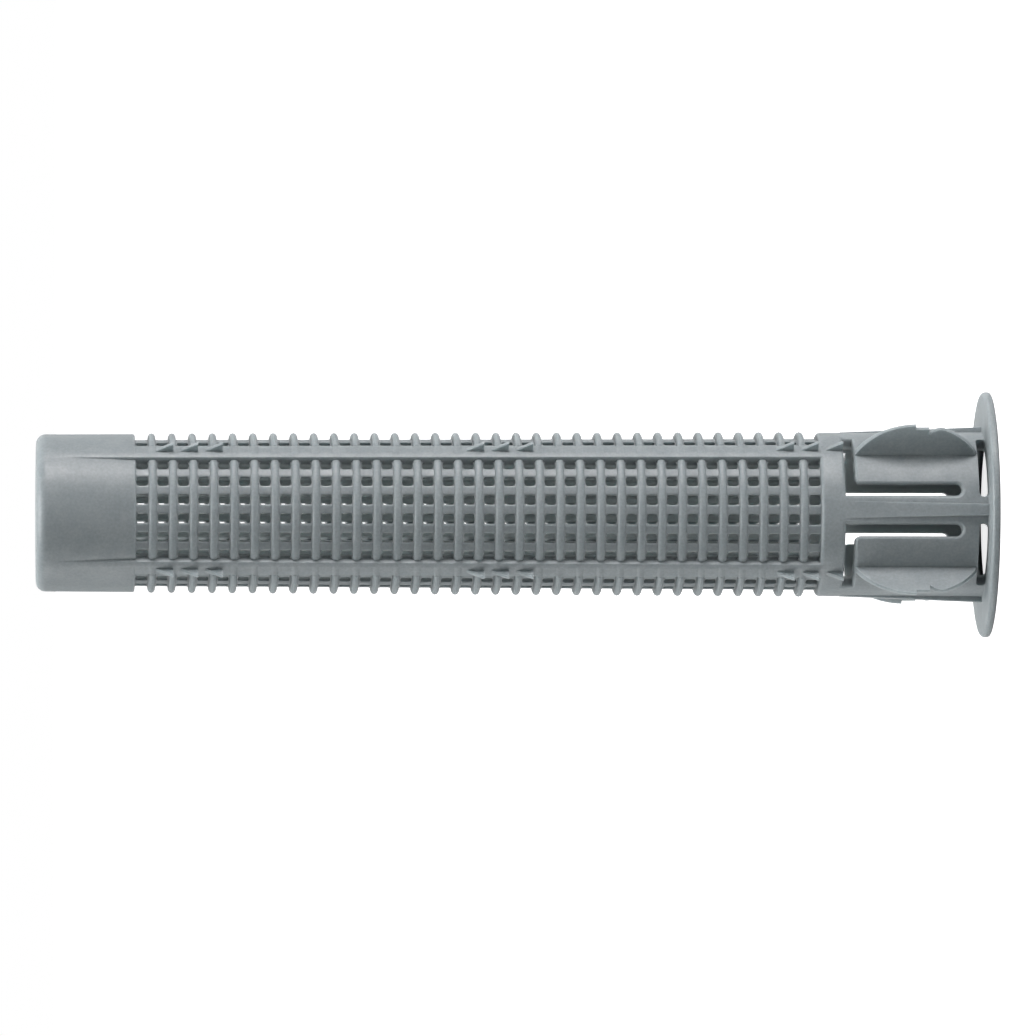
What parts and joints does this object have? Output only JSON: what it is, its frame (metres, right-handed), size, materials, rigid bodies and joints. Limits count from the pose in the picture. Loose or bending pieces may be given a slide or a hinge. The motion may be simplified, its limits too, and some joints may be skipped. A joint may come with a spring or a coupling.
{
  "type": "injection mesh sleeve",
  "caption": "Tubular plastic mesh sleeve for injected mortar, with a closed tip, small barbs, a slotted head with crescent fins, and a thin round flange.",
  "frame": {"origin": "centre of the flange's outer face, which is the bottom when the sleeve stands on its flange", "axes": "+Z along the sleeve's axis from the flange to the closed tip; -Y through the middle of one narrow head bar"},
  "size_m": [0.0218, 0.0218, 0.085],
  "materials": {
    "grey_plastic": "smooth moulded grey plastic, slightly satin"
  },
  "bodies": {
    "root": {"mesh_sleeve": "grey_plastic"}
  },
  "joints": []
}
